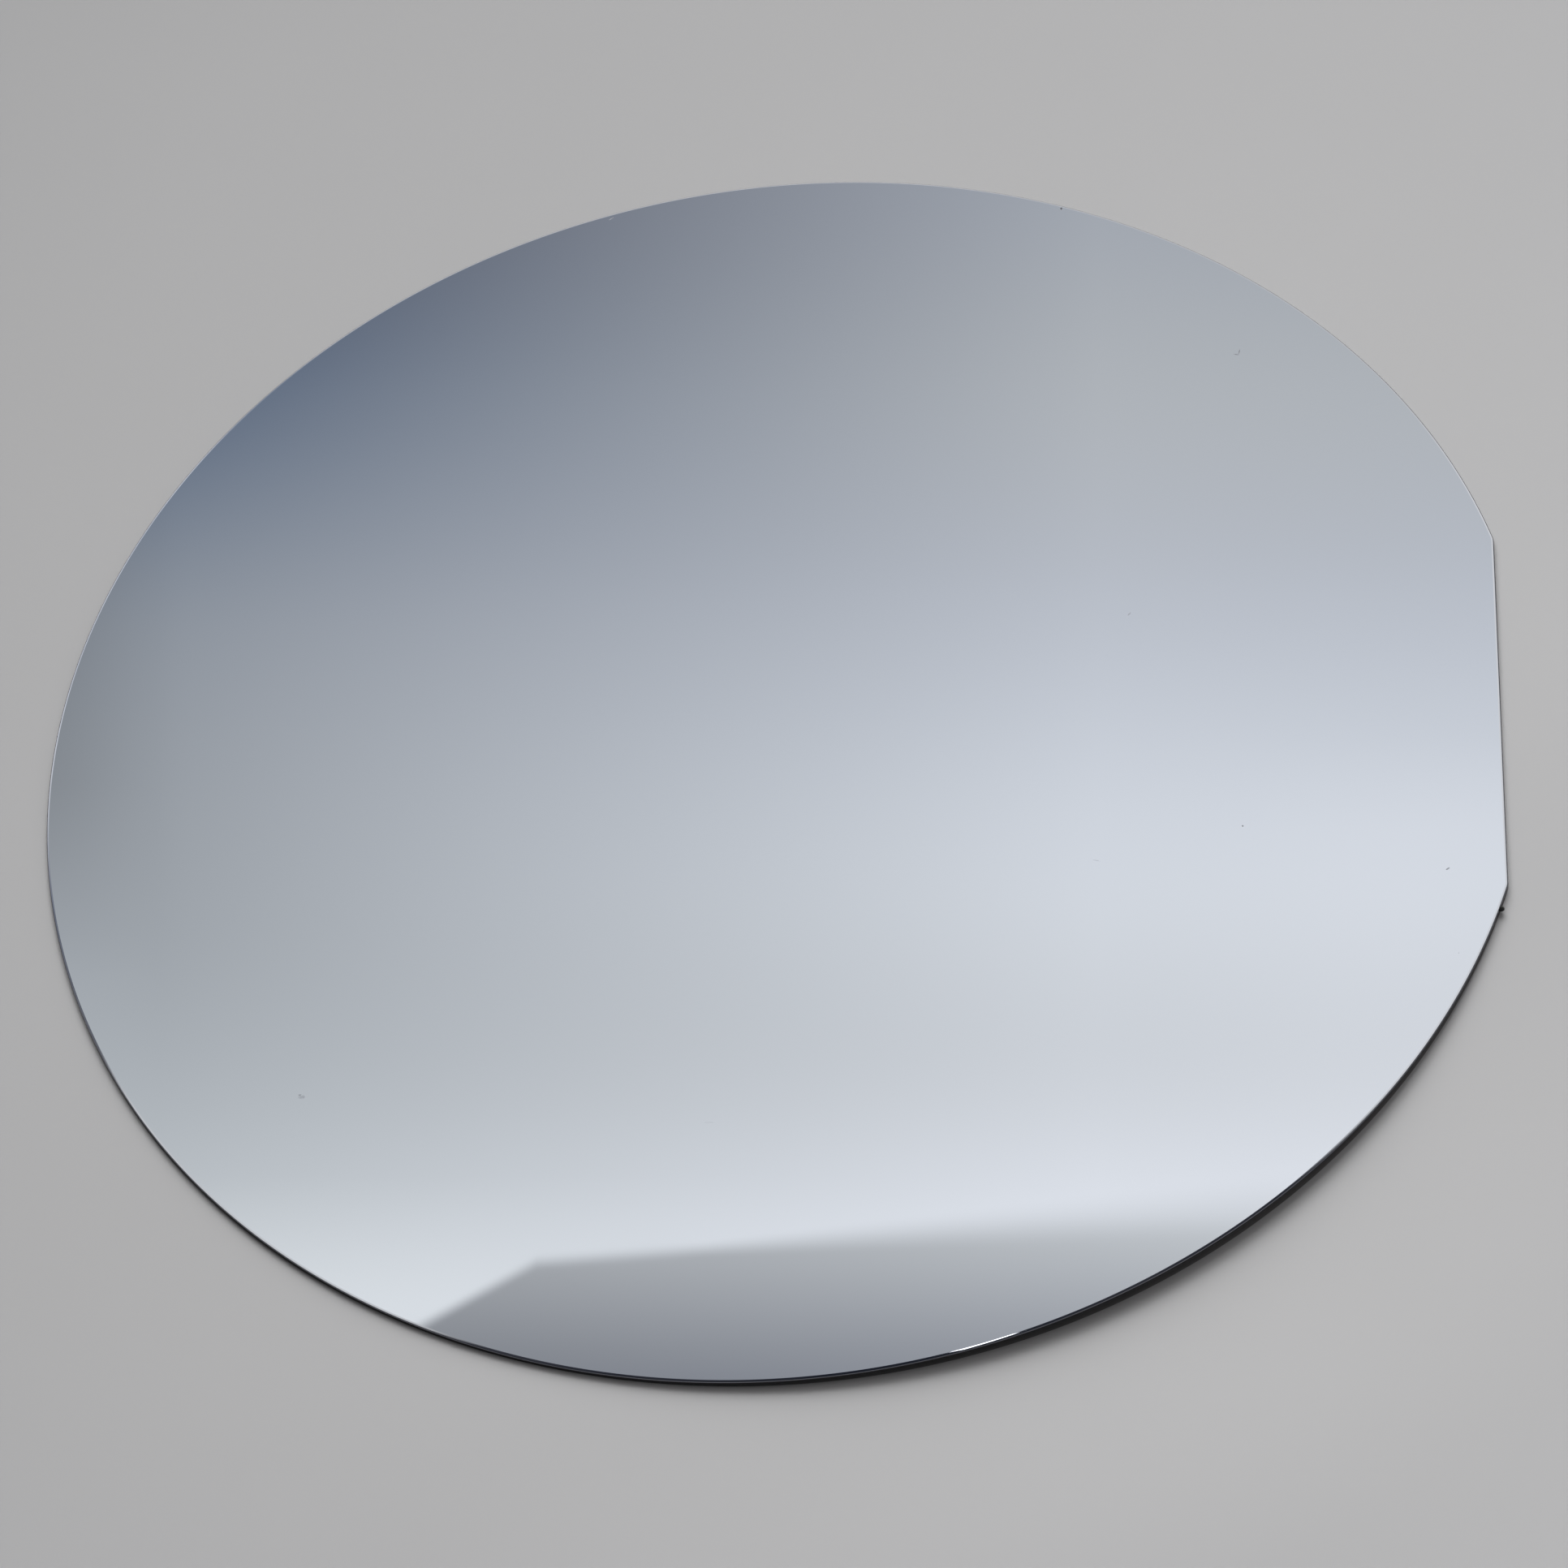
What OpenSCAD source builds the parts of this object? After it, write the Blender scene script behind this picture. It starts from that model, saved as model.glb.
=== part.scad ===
// Silicon wafer: one round slice of single-crystal silicon with an orientation flat.
// Its ground edge has a bevel on each side, a straight crown between them, and blends that join
// the two. The same edge runs round the rim, round the flat's two corners and along the flat.
//
// Frame: the origin is the centre of the round outline on the back face, +Z points out of the
// polished front face, and the flat faces -Y. Lengths are in mm and angles in degrees.

/* [Outline] */
// Diameter across the round rim
wafer_d = 200; // [100:25:200]
// Length of the orientation flat, between the points where it would meet the full circle
flat_length = 57.5; // [30:0.5:60]
// Radius that rounds each corner between the flat and the rim
corner_r = 3; // [1:0.5:10]

/* [Slice] */
// Thickness between the back face and the front face
thickness = 0.725; // [0.67:0.005:0.9]

/* [Edge] */
// Width of each bevel with its blend, measured along the face
bevel_w = 0.32; // [0.2:0.01:0.4]
// Slope of each bevel, measured down from the face
bevel_angle = 22; // [18:1:26]
// Radius that blends each bevel into the crown
blend_r = 0.2; // [0.1:0.01:0.22]

/* [Smoothness] */
// Steps in a full turn of the rim
rim_steps = 240; // [120:24:360]
// Steps in a full turn of a blend
blend_steps = 48; // [24:8:72]

/* [Hidden] */

wafer_r = wafer_d / 2;
half_t = thickness / 2;

// The flat is a chord of the round outline.
flat_y = sqrt(pow(wafer_r, 2) - pow(flat_length / 2, 2));

// Each corner's arc runs into the flat from above. It stands this far out past the rim, so that
// the two cross at a slight angle instead of only touching.
corner_proud = 0.004;
corner_y = flat_y - corner_r;
corner_x = sqrt(pow(wafer_r - corner_r + corner_proud, 2) - pow(corner_y, 2));

// Where a blend leaves the bevel, and how high its centre lies above the middle of the slice
blend_in = blend_r * (1 - sin(bevel_angle));
bevel_drop = (bevel_w - blend_in) * tan(bevel_angle);
blend_z = half_t - bevel_drop - blend_r * cos(bevel_angle);

silicon = [0.53, 0.55, 0.60];

// One side of the slice in section, from the upright axis out to the crown at x = reach. Its
// middle is at y = 0, and the upper and the lower half mirror each other.
module slice_section(reach) {
    translate([reach, 0]) {
        polygon([
            [-reach, -half_t],
            [-bevel_w, -half_t],
            [-blend_in, bevel_drop - half_t],
            [0, -blend_z],
            [0, blend_z],
            [-blend_in, half_t - bevel_drop],
            [-bevel_w, half_t],
            [-reach, half_t]
        ]);
        for (side = [-1, 1])
            translate([-blend_r, side * blend_z])
                circle(blend_r, $fn = blend_steps);
    }
}

// A round disc with the ground edge all the way round
module edged_disc(reach) {
    rotate_extrude($fn = rim_steps)
        slice_section(reach);
}

// The straight stretch between the corners, from the wafer's centre line out to the flat
module flat_strip() {
    translate([-corner_x, 0, 0])
        rotate([90, 0, 90])
            mirror([1, 0, 0])
                linear_extrude(2 * corner_x)
                    slice_section(flat_y);
}

// A slab without any edge, with a notch cut out of it that opens from corner to corner
module notched_slab() {
    linear_extrude(thickness, center = true)
        polygon([
            [corner_x, -corner_y],
            [2 * corner_x, -2 * corner_y],
            [wafer_d, -2 * corner_y],
            [wafer_d, wafer_d],
            [-wafer_d, wafer_d],
            [-wafer_d, -2 * corner_y],
            [-2 * corner_x, -2 * corner_y],
            [-corner_x, -corner_y]
        ]);
}

// The slab with the flat and its two corners fitted into the notch
module flat_side() {
    notched_slab();
    flat_strip();
    for (side = [-1, 1])
        translate([side * corner_x, -corner_y, 0])
            edged_disc(corner_r);
}

module wafer() {
    color(silicon)
        translate([0, 0, half_t])
            intersection() {
                edged_disc(wafer_r);
                flat_side();
            }
}

wafer();
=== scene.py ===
"""Looks of a 200 mm silicon wafer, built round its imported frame, with a plain studio stage."""

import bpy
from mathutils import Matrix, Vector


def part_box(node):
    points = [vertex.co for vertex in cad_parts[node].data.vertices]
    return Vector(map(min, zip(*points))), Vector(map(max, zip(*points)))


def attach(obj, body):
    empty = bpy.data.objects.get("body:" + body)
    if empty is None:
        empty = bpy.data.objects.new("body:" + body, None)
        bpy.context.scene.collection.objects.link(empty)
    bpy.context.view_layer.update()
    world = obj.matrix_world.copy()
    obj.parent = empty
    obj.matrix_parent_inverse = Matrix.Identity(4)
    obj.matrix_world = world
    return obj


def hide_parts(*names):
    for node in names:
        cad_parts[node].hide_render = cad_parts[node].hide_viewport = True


bl_info = {
    "name": "Silicon wafer",
    "version": (1, 0, 0),
    "blender": (4, 5, 0),
    "location": "3D View > Sidebar > Wafer",
    "description": "Builds a polished silicon wafer with a ground edge in a plain studio",
    "category": "Object",
}

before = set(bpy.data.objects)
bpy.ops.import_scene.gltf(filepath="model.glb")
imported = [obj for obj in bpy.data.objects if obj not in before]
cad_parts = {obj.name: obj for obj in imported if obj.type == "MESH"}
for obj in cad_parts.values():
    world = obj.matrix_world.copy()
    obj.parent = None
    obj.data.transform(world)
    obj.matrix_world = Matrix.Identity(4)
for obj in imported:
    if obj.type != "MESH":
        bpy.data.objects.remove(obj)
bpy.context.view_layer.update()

import math

import bmesh
import bpy
from mathutils import Matrix, Vector

MM = 0.001
BODY = "root"
NODE = "wafer"
NODE_LOW, NODE_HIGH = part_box(NODE)
MERGE_DISTANCE = 0.001 * MM
SENSOR_WIDTH = 36  # mm
# The card and the sky glow this many times brighter than their colours, which can't pass 1.
GLOW_STRENGTH = 1.5

# Dust on the polished face. Each mark: name, distance of its place from the wafer's centre and
# direction from +X, length, width, turn of its long side from +X, softness and strength. Lengths
# are in mm and angles in degrees.
DUST_MARKS = (
    ("pale_flake", 81.5, 129.7, 1.05, 0.62, -94.0, 0.55, 0.20),
    ("flake_core", 81.5, 129.4, 0.50, 0.26, -94.0, 0.70, 0.32),
    ("chip_grain", 91.7, -106.3, 0.62, 0.24, -53.0, 0.45, 0.48),
    ("small_chip", 50.5, -67.1, 0.66, 0.26, -40.0, 0.60, 0.22),
    ("dark_dot", 63.5, -105.4, 0.26, 0.24, 0.0, 0.50, 0.62),
    ("rim_dot_right", 99.4, -22.2, 0.44, 0.40, 0.0, 0.45, 0.95),
    ("rim_dot_left", 99.1, 15.2, 0.90, 0.22, -55.0, 0.60, 0.40),
    ("fibre_stem", 89.2, -44.05, 0.97, 0.16, 164.4, 0.60, 0.66),
    ("fibre_foot", 88.6, -44.06, 0.70, 0.17, -102.6, 0.60, 0.60),
    ("faint_hair", 46.8, -116.8, 1.10, 0.12, -105.0, 0.80, 0.18),
    ("faint_arc", 60.3, 171.6, 1.30, 0.28, -94.0, 0.80, 0.07),
)

# Waves over the crumb that make it lumpy, along X, Y and Z: radians per metre, and their starts
CRUMB_WAVES = (9100, 7300, 12100)
CRUMB_STARTS = (7, 2, 1)
CRUMB_FLATNESS = 0.8

# The floor's opening under the wafer. It lies this share of the way in from the wafer's outline.
# Round it runs a lip this wide, as such a share, and this share of the sag below the wafer.
OPENING_INSET = 0.0035
LIP_WIDTH = 0.0002
LIP_DROP = 0.05

# Rings in which the sag fades out, as multiples of the wafer's outline
FADE_RINGS = (1.0, 1.02, 1.05, 1.09, 1.14, 1.20, 1.27, 1.35, 1.45)

# Soft bright patches of the sky, which the bevels mirror. Each patch: direction, cosine of the
# angle from it at which the patch begins and at which it is full, and brightness.
SKY_PATCHES = (
    ((0.927, -0.193, 0.320), 0.72, 0.88, 0.60),
    ((0.538, -0.447, 0.715), 0.84, 0.93, 0.78),
    ((0.140, 0.562, 0.814), 0.945, 0.975, 0.66),
)


# ---------------------------------------------------------------------------------------------
# Sizes, finishes and studio
# ---------------------------------------------------------------------------------------------


class WaferSizes(bpy.types.PropertyGroup):
    """Sizes of the slice and of its ground edge"""

    diameter: bpy.props.FloatProperty(
        name="Diameter", description="Across the round rim", unit="LENGTH", precision=4,
        default=round(NODE_HIGH.x - NODE_LOW.x, 3))
    flat_distance: bpy.props.FloatProperty(
        name="Flat distance", description="From the centre to the flat", unit="LENGTH",
        precision=5, default=-NODE_LOW.y)
    corner_radius: bpy.props.FloatProperty(
        name="Corner radius", description="Rounds each corner between the flat and the rim",
        unit="LENGTH", precision=4, default=3 * MM)
    thickness: bpy.props.FloatProperty(
        name="Thickness", description="From the back face to the polished face",
        unit="LENGTH", precision=6, default=NODE_HIGH.z - NODE_LOW.z)
    bevel_width: bpy.props.FloatProperty(
        name="Bevel width", description="Of each bevel with its blend, along the face",
        unit="LENGTH", precision=6, default=0.32 * MM)
    bevel_slope: bpy.props.FloatProperty(
        name="Bevel slope", description="Of each bevel, measured down from the face",
        subtype="ANGLE", default=math.radians(22))
    blend_radius: bpy.props.FloatProperty(
        name="Blend radius", description="Blends each bevel into the upright crown",
        unit="LENGTH", precision=6, default=0.2 * MM)
    rim_steps: bpy.props.IntProperty(
        name="Rim steps", description="Straight steps round the rim", default=420, min=60)
    corner_steps: bpy.props.IntProperty(
        name="Corner steps", description="Straight steps round each corner", default=10, min=2)
    flat_steps: bpy.props.IntProperty(
        name="Flat steps", description="Steps along the flat", default=24, min=1)
    blend_steps: bpy.props.IntProperty(
        name="Blend steps", description="Steps round each blend of the edge", default=9, min=2)
    face_rings: bpy.props.IntProperty(
        name="Face rings", description="Rings of each face from the edge to the centre",
        default=12, min=2)


class WaferFinish(bpy.types.PropertyGroup):
    """Colours and finishes of the silicon and of the dirt on it"""

    polished_colour: bpy.props.FloatVectorProperty(
        name="Polished silicon", description="Mirror colour of the front face",
        subtype="COLOR", size=3, min=0, max=1, default=(0.53, 0.55, 0.60))
    etched_colour: bpy.props.FloatVectorProperty(
        name="Etched silicon", description="Colour of the satin back face",
        subtype="COLOR", size=3, min=0, max=1, default=(0.40, 0.415, 0.45))
    bevel_colour: bpy.props.FloatVectorProperty(
        name="Bevel silicon", description="Mirror colour of the lightly polished bevels",
        subtype="COLOR", size=3, min=0, max=1, default=(0.50, 0.515, 0.55))
    ground_colour: bpy.props.FloatVectorProperty(
        name="Ground silicon", description="Colour of the ground crown between the bevels",
        subtype="COLOR", size=3, min=0, max=1, default=(0.13, 0.13, 0.14))
    dust_colour: bpy.props.FloatVectorProperty(
        name="Dust", description="Colour of the dust on the wafer",
        subtype="COLOR", size=3, min=0, max=1, default=(0.10, 0.10, 0.11))
    crumb_colour: bpy.props.FloatVectorProperty(
        name="Crumb", description="Colour of the crumb on the rim",
        subtype="COLOR", size=3, min=0, max=1, default=(0.006, 0.006, 0.005))
    crumb_size: bpy.props.FloatProperty(
        name="Crumb size", description="Width of the crumb on the rim",
        unit="LENGTH", precision=5, default=0.8 * MM)
    crumb_direction: bpy.props.FloatProperty(
        name="Crumb direction", description="Where the crumb sits on the rim, from +X",
        subtype="ANGLE", default=math.radians(-108.9))


class StudioLook(bpy.types.PropertyGroup):
    """Camera, floor and light"""

    azimuth: bpy.props.FloatProperty(
        name="Camera azimuth", description="Direction that the camera stands in",
        subtype="ANGLE", default=math.radians(-80.05))
    elevation: bpy.props.FloatProperty(
        name="Camera elevation", description="Height of the camera above the horizon",
        subtype="ANGLE", default=math.radians(52.61))
    roll: bpy.props.FloatProperty(
        name="Camera roll", description="Turn of the camera about its own line of sight",
        subtype="ANGLE", default=math.radians(-11.31))
    distance: bpy.props.FloatProperty(
        name="Camera distance", description="From the aim point", unit="LENGTH", default=1.1593)
    aim: bpy.props.FloatVectorProperty(
        name="Aim point", description="What the middle of the picture shows",
        subtype="TRANSLATION", unit="LENGTH", precision=5, default=(-4.95 * MM, -0.03 * MM, 0))
    lens: bpy.props.FloatProperty(
        name="Lens", description="Focal length in mm on a 36 mm sensor", default=199.4)
    floor_colour: bpy.props.FloatVectorProperty(
        name="Floor", description="Colour of the plain floor",
        subtype="COLOR", size=3, min=0, max=1, default=(0.462, 0.460, 0.462))
    # The floor under the wafer gets this darker colour: painted shade in the gap under the sagging
    # side.
    painted_gap_shade: bpy.props.FloatVectorProperty(
        name="Floor in the gap", description="Colour of the floor under the wafer",
        subtype="COLOR", size=3, min=0, max=1, default=(0.175, 0.170, 0.170))
    floor_reach: bpy.props.FloatProperty(
        name="Floor reach", description="How far the floor runs from the wafer's centre",
        unit="LENGTH", default=12.0)
    sag_depth: bpy.props.FloatProperty(
        name="Sag depth", description="How far the floor sags under one side of the wafer",
        unit="LENGTH", precision=5, default=1.1 * MM)
    sag_direction: bpy.props.FloatProperty(
        name="Sag direction", description="Where the floor sags most, from +X",
        subtype="ANGLE", default=math.radians(-147))
    sag_spread: bpy.props.FloatProperty(
        name="Sag spread", description="How far round the rim the sag reaches on each side",
        subtype="ANGLE", default=math.radians(56))
    key_direction: bpy.props.FloatProperty(
        name="Key direction", description="Where the soft key light comes from, from +X",
        subtype="ANGLE", default=math.radians(5))
    key_height: bpy.props.FloatProperty(
        name="Key height", description="Height of the key light above the horizon",
        subtype="ANGLE", default=math.radians(30))
    key_softness: bpy.props.FloatProperty(
        name="Key softness", description="Width of the key light as seen from the floor",
        subtype="ANGLE", default=math.radians(48))
    key_strength: bpy.props.FloatProperty(
        name="Key strength", description="Strength of the key light", default=5.33)
    key_colour: bpy.props.FloatVectorProperty(
        name="Key colour", description="Colour of the key light",
        subtype="COLOR", size=3, min=0, max=1, default=(0.99, 0.995, 1.0))
    fill_direction: bpy.props.FloatProperty(
        name="Fill direction", description="Where the fill light comes from, from +X",
        subtype="ANGLE", default=math.radians(-30))
    fill_strength: bpy.props.FloatProperty(
        name="Fill strength", description="Strength of the fill light on its own side",
        default=2.15)
    fill_colour: bpy.props.FloatVectorProperty(
        name="Fill colour", description="Colour of the fill light",
        subtype="COLOR", size=3, min=0, max=1, default=(0.355, 0.35, 0.352))
    card_distance: bpy.props.FloatProperty(
        name="Card distance", description="From the wafer to the glowing card that it mirrors",
        unit="LENGTH", default=2.2)
    glint_direction: bpy.props.FloatProperty(
        name="Glint direction", description="Where the small lamp glints on the rim, from +X",
        subtype="ANGLE", default=math.radians(-164.4))
    lamp_distance: bpy.props.FloatProperty(
        name="Lamp distance", description="From the rim to the small lamp", unit="LENGTH",
        default=2.0)
    lamp_width: bpy.props.FloatProperty(
        name="Lamp width", description="Width of the small square lamp", unit="LENGTH",
        default=0.14)
    lamp_glow: bpy.props.FloatVectorProperty(
        name="Lamp glow", description="Glow of the small lamp, where 1 is white",
        subtype="COLOR", size=3, min=0, default=(4.0, 4.0, 4.1))


# ---------------------------------------------------------------------------------------------
# Small helpers for node trees and meshes
# ---------------------------------------------------------------------------------------------


class Tree:
    """Adds nodes to a node tree and wires them up."""

    def __init__(self, tree):
        self.tree = tree

    def add(self, kind, inputs=None, **settings):
        """A node of that kind. inputs maps a socket's name or index to a value or an output."""
        node = self.tree.nodes.new(kind)
        for name, value in settings.items():
            setattr(node, name, value)
        for key, value in (inputs or {}).items():
            self.feed(node.inputs[key], value)
        return node

    def feed(self, socket, value):
        """Wires an output to the socket, or sets the socket's own value."""
        if isinstance(value, bpy.types.NodeSocket):
            self.tree.links.new(value, socket)
        else:
            socket.default_value = value

    def sum(self, operation, *values):
        """The result of a Math node."""
        node = self.add("ShaderNodeMath", dict(enumerate(values)), operation=operation)
        return node.outputs[0]

    def mix(self, factor, first, second, kind="RGBA"):
        """A Mix node's result, for colours or for plain numbers."""
        node = self.add("ShaderNodeMix", data_type=kind)
        sockets = {"RGBA": (0, 6, 7, 2), "FLOAT": (0, 2, 3, 0)}[kind]
        for index, value in zip(sockets, (factor, first, second)):
            self.feed(node.inputs[index], value)
        return node.outputs[sockets[3]]

    def ramp(self, factor, stops, interpolation="LINEAR"):
        """The colour of a ColorRamp node with those stops."""
        node = self.add("ShaderNodeValToRGB", {0: factor})
        ramp = node.color_ramp
        ramp.interpolation = interpolation
        while len(ramp.elements) < len(stops):
            ramp.elements.new(1.0)
        for element, (place, colour) in zip(ramp.elements, stops):
            element.position = place
            element.color = (*colour, 1.0)
        return node.outputs[0]

    def map(self, value, low, high, to_low=0.0, to_high=1.0, smooth=False):
        """A Map Range node's result."""
        node = self.add("ShaderNodeMapRange", dict(enumerate((value, low, high, to_low, to_high))))
        node.interpolation_type = "SMOOTHSTEP" if smooth else "LINEAR"
        return node.outputs[0]


def new_group(name, kind, sockets):
    """A node group with those (in or out, name, type, default) sockets, and its two end nodes."""
    group = bpy.data.node_groups.new(name, kind)
    for way, label, socket_type, default in sockets:
        socket = group.interface.new_socket(name=label, in_out=way, socket_type=socket_type)
        if default is not None:
            socket.default_value = default
    tree = Tree(group)
    return tree, tree.add("NodeGroupInput").outputs, tree.add("NodeGroupOutput")


def new_material(name):
    """A material with only its output and a Principled shader."""
    material = bpy.data.materials.new(name)
    material.use_nodes = True
    material.node_tree.nodes.clear()
    tree = Tree(material.node_tree)
    shader = tree.add("ShaderNodeBsdfPrincipled")
    tree.add("ShaderNodeOutputMaterial", {"Surface": shader.outputs[0]})
    return material, tree, shader


def place_group(tree, group, **values):
    """The group as a node of the tree, with its inputs set by their names."""
    node = tree.add("ShaderNodeGroup", node_tree=group)
    for name, value in values.items():
        tree.feed(node.inputs[name.replace("_", " ").title()], value)
    return node.outputs


def new_object(name, mesh):
    """An object of that mesh, linked to the scene."""
    obj = bpy.data.objects.new(name, mesh)
    bpy.context.scene.collection.objects.link(obj)
    return obj


def check_closed(mesh):
    """Turns the mesh's faces outward, and raises an error unless it is one closed surface."""
    work = bmesh.new()
    work.from_mesh(mesh)
    bmesh.ops.recalc_face_normals(work, faces=work.faces)
    open_edges = sum(not edge.is_manifold for edge in work.edges)
    volume = work.calc_volume(signed=True)
    work.to_mesh(mesh)
    work.free()
    if open_edges or volume <= 0:
        raise RuntimeError(f"{mesh.name}: {open_edges} open edges, volume {volume:g}")


def direction(azimuth, elevation):
    """The unit vector towards a camera or lamp. The azimuth counts from -Y, towards +X."""
    level = math.cos(elevation)
    return Vector((math.sin(azimuth) * level, -math.cos(azimuth) * level, math.sin(elevation)))


# ---------------------------------------------------------------------------------------------
# Shader groups that several finishes share
# ---------------------------------------------------------------------------------------------


def dust_mark_group():
    """One flake, dot or fibre that lies at a known place on a face."""
    tree, given, end = new_group("dust_mark", "ShaderNodeTree", (
        ("INPUT", "Position", "NodeSocketVector", None),
        ("INPUT", "Distance", "NodeSocketFloat", 0.05),
        ("INPUT", "Direction", "NodeSocketFloat", 0.0),
        ("INPUT", "Length", "NodeSocketFloat", MM),
        ("INPUT", "Width", "NodeSocketFloat", MM),
        ("INPUT", "Turn", "NodeSocketFloat", 0.0),
        ("INPUT", "Softness", "NodeSocketFloat", 0.5),
        ("INPUT", "Strength", "NodeSocketFloat", 1.0),
        ("OUTPUT", "Mask", "NodeSocketFloat", None),
    ))
    centre = tree.add("ShaderNodeCombineXYZ", {
        "X": tree.sum("MULTIPLY", given["Distance"], tree.sum("COSINE", given["Direction"])),
        "Y": tree.sum("MULTIPLY", given["Distance"], tree.sum("SINE", given["Direction"])),
    }).outputs[0]
    turned = tree.add("ShaderNodeVectorRotate", {
        "Vector": given["Position"], "Center": centre,
        "Angle": tree.sum("MULTIPLY", given["Turn"], -1.0),
    }, rotation_type="Z_AXIS").outputs[0]
    offset = tree.add("ShaderNodeVectorMath", {0: turned, 1: centre}, operation="SUBTRACT")
    parts = tree.add("ShaderNodeSeparateXYZ", {0: offset.outputs[0]}).outputs
    along = tree.sum("DIVIDE", parts["X"], given["Length"])
    across = tree.sum("DIVIDE", parts["Y"], given["Width"])
    reach = tree.sum("MULTIPLY", tree.sum("SQRT", tree.sum(
        "ADD", tree.sum("MULTIPLY", along, along), tree.sum("MULTIPLY", across, across))), 2.0)
    ragged = tree.add("ShaderNodeTexNoise", {"Vector": given["Position"], "Scale": 6000.0})
    reach = tree.sum("ADD", reach, tree.map(ragged.outputs[0], 0.3, 0.7, -0.18, 0.18))
    inner = tree.sum("SUBTRACT", 1.0, given["Softness"])
    outer = tree.sum("ADD", 1.0, tree.sum("MULTIPLY", given["Softness"], 0.5))
    mask = tree.map(reach, inner, outer, 1.0, 0.0, smooth=True)
    tree.feed(end.inputs["Mask"], tree.sum("MULTIPLY", mask, given["Strength"]))
    return tree.tree


def fine_dust_group():
    """Sparse specks of fine dust, each at a random place and of a random size."""
    tree, given, end = new_group("fine_dust", "ShaderNodeTree", (
        ("INPUT", "Position", "NodeSocketVector", None),
        ("INPUT", "Spacing", "NodeSocketFloat", 4 * MM),
        ("INPUT", "Speck Size", "NodeSocketFloat", 0.1 * MM),
        ("INPUT", "Share", "NodeSocketFloat", 0.3),
        ("OUTPUT", "Mask", "NodeSocketFloat", None),
    ))
    scale = tree.sum("DIVIDE", 1.0, given["Spacing"])
    cells = tree.add("ShaderNodeTexVoronoi", {"Vector": given["Position"], "Scale": scale})
    chance = tree.add("ShaderNodeSeparateColor", {0: cells.outputs["Color"]}).outputs
    size = tree.sum("MULTIPLY", tree.sum("DIVIDE", given["Speck Size"], given["Spacing"]),
                    tree.map(chance["Red"], 0.0, 1.0, 0.25, 0.8))
    speck = tree.map(cells.outputs["Distance"], tree.sum("MULTIPLY", size, 0.5), size, 1.0, 0.0,
                     smooth=True)
    kept = tree.sum("LESS_THAN", chance["Green"], given["Share"])
    tree.feed(end.inputs["Mask"], tree.sum("MULTIPLY", speck, kept))
    return tree.tree


def cloud_group():
    """Slow, soft variation of a value over the surface, such as haze or uneven etching."""
    tree, given, end = new_group("soft_cloud", "ShaderNodeTree", (
        ("INPUT", "Position", "NodeSocketVector", None),
        ("INPUT", "Cloud Size", "NodeSocketFloat", 0.05),
        ("INPUT", "Low", "NodeSocketFloat", 0.0),
        ("INPUT", "High", "NodeSocketFloat", 1.0),
        ("OUTPUT", "Value", "NodeSocketFloat", None),
    ))
    noise = tree.add("ShaderNodeTexNoise", {
        "Vector": given["Position"], "Detail": 4.0, "Roughness": 0.55,
        "Scale": tree.sum("DIVIDE", 1.0, given["Cloud Size"])})
    tree.feed(end.inputs["Value"],
              tree.map(noise.outputs[0], 0.3, 0.7, given["Low"], given["High"]))
    return tree.tree


# ---------------------------------------------------------------------------------------------
# Finishes
# ---------------------------------------------------------------------------------------------


def dusted(tree, shader, mask, clean_colour, dust_colour, roughness):
    """Feeds the shader silicon where the mask is 0 and matt dust where it is 1."""
    tree.feed(shader.inputs["Base Color"], tree.mix(mask, (*clean_colour, 1), (*dust_colour, 1)))
    tree.feed(shader.inputs["Metallic"], tree.sum("SUBTRACT", 1.0, mask))
    tree.feed(shader.inputs["Roughness"], tree.mix(mask, roughness, 0.85, "FLOAT"))


def polished_finish(finish, groups):
    """The mirror-polished front face, with the few marks of dust that lie on it."""
    material, tree, shader = new_material("polished_silicon")
    place = tree.add("ShaderNodeTexCoord").outputs["Object"]
    mask = place_group(tree, groups["fine_dust"], position=place, spacing=9 * MM,
                       speck_size=0.14 * MM, share=0.35)["Mask"]
    mask = tree.sum("MULTIPLY", mask, 0.3)
    for _, distance, heading, length, width, turn, softness, strength in DUST_MARKS:
        mark = place_group(
            tree, groups["dust_mark"], position=place, distance=distance * MM,
            direction=math.radians(heading), length=length * MM, width=width * MM,
            turn=math.radians(turn), softness=softness, strength=strength)["Mask"]
        mask = tree.sum("MAXIMUM", mask, mark)
    haze = place_group(tree, groups["soft_cloud"], position=place, cloud_size=0.045,
                       low=0.004, high=0.018)["Value"]
    dusted(tree, shader, mask, finish.polished_colour, finish.dust_colour, haze)
    return material


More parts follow.
